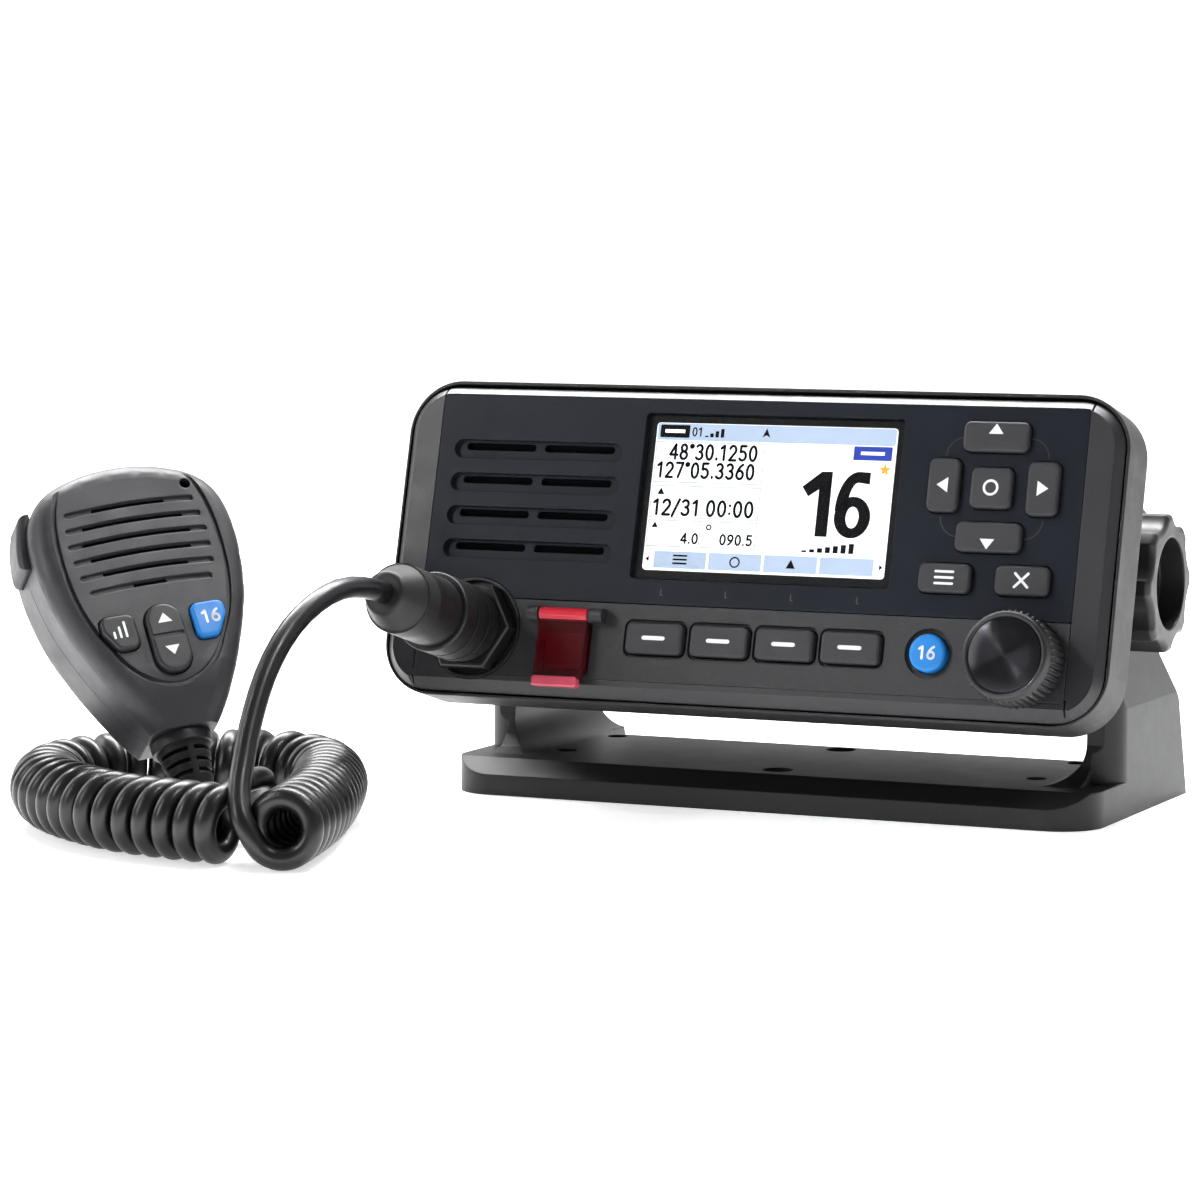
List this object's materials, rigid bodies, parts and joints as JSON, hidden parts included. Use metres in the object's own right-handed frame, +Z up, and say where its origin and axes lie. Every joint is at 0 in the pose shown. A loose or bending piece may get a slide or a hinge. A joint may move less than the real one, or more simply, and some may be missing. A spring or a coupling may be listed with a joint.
{
  "type": "vhf marine radio",
  "caption": "Fixed-mount VHF marine radio that tilts in a trunnion bracket, with display, keys, rotary dial, guarded distress key and a fist microphone on a curly cord.",
  "frame": {"origin": "centre of the bracket's bottom face", "axes": "+X to the right as the user faces the display, +Y to the rear, +Z up, with the bracket standing on its bottom face"},
  "size_m": [0.2672, 0.2504, 0.1089],
  "materials": {
    "bracket_plastic": "satin moulded",
    "frame_plastic": "fine grain",
    "case_plastic": "fine grain",
    "seal_rubber": "matte",
    "panel_gloss": "gloss",
    "panel_grain": "fine grain",
    "lens_clear": "clear",
    "lcd_face": "lit",
    "key_rubber": "satin",
    "key_blue": "satin",
    "key_red": "gloss",
    "guard_red": "clear red",
    "dial_plastic": "ribbed",
    "dial_metal": "spun, black anodised",
    "steel": "satin",
    "brass_insert": "turned",
    "alloy_cover": "satin black",
    "plated_socket": "plated",
    "gland_rubber": "matte",
    "knob_plastic": "satin",
    "board_green": "solder mask",
    "switch_black": "moulded",
    "speaker_cone": "matte",
    "speaker_cloth": "woven",
    "socket_plastic": "satin",
    "plug_plastic": "satin",
    "boot_rubber": "satin",
    "cord_jacket": "satin",
    "mic_plastic": "fine grain",
    "mic_rubber": "satin"
  },
  "bodies": {
    "bracket": {"mounting_bracket": "bracket_plastic", "clamp_washers": "seal_rubber", "mic_front_shell": "mic_plastic", "mic_rear_shell": "mic_plastic", "mic_screws": "steel", "mic_hanger_button": "mic_plastic", "mic_speaker": "speaker_cone", "mic_board": "board_green", "mic_strain_relief": "boot_rubber", "cord_tail": "cord_jacket", "cord_coil": "cord_jacket", "cord_mic_end": "cord_jacket"},
    "transceiver": {"front_frame": "frame_plastic", "front_seal": "seal_rubber", "rear_case": "case_plastic", "clamp_inserts": "brass_insert", "rear_cover": "alloy_cover", "cover_screws": "steel", "antenna_socket": "plated_socket", "cable_glands": "gland_rubber", "display_panel": "panel_gloss", "lower_panel": "panel_grain", "display_window": "lens_clear", "lcd_module": "lcd_face", "speaker": "speaker_cone", "speaker_mesh": "speaker_cloth", "key_mat": "seal_rubber", "front_board": "board_green", "main_board": "board_green", "encoder_body": "switch_black", "alarm_switch": "switch_black", "lid_pin": "steel", "mic_socket": "socket_plastic", "socket_nut": "socket_plastic", "plug_body": "plug_plastic", "plug_boot": "boot_rubber"},
    "clamp_knob_right": {"clamp_knob_right": "knob_plastic"},
    "clamp_knob_left": {"clamp_knob_left": "knob_plastic"},
    "dial_plunger": {"dial_shaft": "steel"},
    "dial": {"dial_knob": "dial_plastic", "dial_disc": "dial_metal"},
    "distress_guard": {"distress_lid": "guard_red"},
    "plug_collar": {"plug_ring": "plug_plastic"},
    "mic_talk_bar": {"mic_ptt": "mic_rubber"},
    "mic_left_key": {"mic_key_power": "mic_rubber"},
    "mic_right_key": {"mic_key_channel": "key_blue"},
    "mic_rocker": {"mic_rocker": "mic_rubber"},
    "key_up": {"key_up": "key_rubber"},
    "key_down": {"key_down": "key_rubber"},
    "key_left": {"key_left": "key_rubber"},
    "key_right": {"key_right": "key_rubber"},
    "key_enter": {"key_enter": "key_rubber"},
    "key_menu": {"key_menu": "key_rubber"},
    "key_clear": {"key_clear": "key_rubber"},
    "key_channel": {"key_channel": "key_blue"},
    "soft_key_1": {"soft_key_1": "key_rubber"},
    "soft_key_2": {"soft_key_2": "key_rubber"},
    "soft_key_3": {"soft_key_3": "key_rubber"},
    "soft_key_4": {"soft_key_4": "key_rubber"},
    "distress_key": {"distress_key": "key_red"}
  },
  "joints": [
    {"name": "unit_tilt", "type": "hinge", "parent": "bracket", "child": "transceiver", "pos_m": [0, -0.00332, 0.05973], "axis": [1, 0, 0], "range_deg": [-12, 18], "deforming": ["cord_tail"]},
    {"name": "clamp_right_turn", "type": "hinge", "parent": "bracket", "child": "clamp_knob_right", "pos_m": [0.098, -0.00332, 0.05973], "axis": [1, 0, 0], "continuous": true},
    {"name": "clamp_left_turn", "type": "hinge", "parent": "bracket", "child": "clamp_knob_left", "pos_m": [-0.098, -0.00332, 0.05973], "axis": [-1, 0, 0], "continuous": true},
    {"name": "dial_push", "type": "slide", "parent": "transceiver", "child": "dial_plunger", "axis": [0, 0.9657, -0.2598], "range_m": [0, 0.0008], "stiffness_N_per_m": 3000},
    {"name": "dial_turn", "type": "hinge", "parent": "dial_plunger", "child": "dial", "pos_m": [0.077, -0.06706, 0.04643], "axis": [0, -0.9657, 0.2598], "continuous": true},
    {"name": "guard_lift", "type": "hinge", "parent": "transceiver", "child": "distress_guard", "pos_m": [-0.04625, -0.05784, 0.05068], "axis": [1, 0, 0], "range_deg": [-100, 0], "stiffness_Nm_per_rad": 0.004, "springref_deg": 20.05},
    {"name": "plug_collar_turn", "type": "hinge", "parent": "transceiver", "child": "plug_collar", "pos_m": [-0.073, -0.07325, 0.05038], "axis": [0, -0.9657, 0.2598], "continuous": true},
    {"name": "talk_bar_press", "type": "slide", "parent": "bracket", "child": "mic_talk_bar", "axis": [0.6545, 0.7467, 0.1187], "range_m": [0, 0.0012], "stiffness_N_per_m": 1500},
    {"name": "mic_left_key_press", "type": "slide", "parent": "bracket", "child": "mic_left_key", "axis": [-0.6084, 0.6134, -0.5036], "range_m": [0, 0.0008], "stiffness_N_per_m": 2500},
    {"name": "mic_right_key_press", "type": "slide", "parent": "bracket", "child": "mic_right_key", "axis": [-0.6084, 0.6134, -0.5036], "range_m": [0, 0.0008], "stiffness_N_per_m": 2500},
    {"name": "mic_rocker_tilt", "type": "hinge", "parent": "bracket", "child": "mic_rocker", "pos_m": [-0.12003, -0.13388, 0.04681], "axis": [0.6545, 0.7467, 0.1187], "range_deg": [-2.5, 2.5], "stiffness_Nm_per_rad": 0.12},
    {"name": "key_up_press", "type": "slide", "parent": "transceiver", "child": "key_up", "axis": [0, 0.9657, -0.2598], "range_m": [0, 0.001], "stiffness_N_per_m": 2500},
    {"name": "key_down_press", "type": "slide", "parent": "transceiver", "child": "key_down", "axis": [0, 0.9657, -0.2598], "range_m": [0, 0.001], "stiffness_N_per_m": 2500},
    {"name": "key_left_press", "type": "slide", "parent": "transceiver", "child": "key_left", "axis": [0, 0.9657, -0.2598], "range_m": [0, 0.001], "stiffness_N_per_m": 2500},
    {"name": "key_right_press", "type": "slide", "parent": "transceiver", "child": "key_right", "axis": [0, 0.9657, -0.2598], "range_m": [0, 0.001], "stiffness_N_per_m": 2500},
    {"name": "key_enter_press", "type": "slide", "parent": "transceiver", "child": "key_enter", "axis": [0, 0.9657, -0.2598], "range_m": [0, 0.001], "stiffness_N_per_m": 2500},
    {"name": "key_menu_press", "type": "slide", "parent": "transceiver", "child": "key_menu", "axis": [0, 0.9657, -0.2598], "range_m": [0, 0.001], "stiffness_N_per_m": 2500},
    {"name": "key_clear_press", "type": "slide", "parent": "transceiver", "child": "key_clear", "axis": [0, 0.9657, -0.2598], "range_m": [0, 0.001], "stiffness_N_per_m": 2500},
    {"name": "key_channel_press", "type": "slide", "parent": "transceiver", "child": "key_channel", "axis": [0, 0.9657, -0.2598], "range_m": [0, 0.001], "stiffness_N_per_m": 2500},
    {"name": "soft_key_1_press", "type": "slide", "parent": "transceiver", "child": "soft_key_1", "axis": [0, 0.9657, -0.2598], "range_m": [0, 0.001], "stiffness_N_per_m": 2500},
    {"name": "soft_key_2_press", "type": "slide", "parent": "transceiver", "child": "soft_key_2", "axis": [0, 0.9657, -0.2598], "range_m": [0, 0.001], "stiffness_N_per_m": 2500},
    {"name": "soft_key_3_press", "type": "slide", "parent": "transceiver", "child": "soft_key_3", "axis": [0, 0.9657, -0.2598], "range_m": [0, 0.001], "stiffness_N_per_m": 2500},
    {"name": "soft_key_4_press", "type": "slide", "parent": "transceiver", "child": "soft_key_4", "axis": [0, 0.9657, -0.2598], "range_m": [0, 0.001], "stiffness_N_per_m": 2500},
    {"name": "distress_key_press", "type": "slide", "parent": "transceiver", "child": "distress_key", "axis": [0, 0.9657, -0.2598], "range_m": [0, 0.001], "stiffness_N_per_m": 3500}
  ]
}
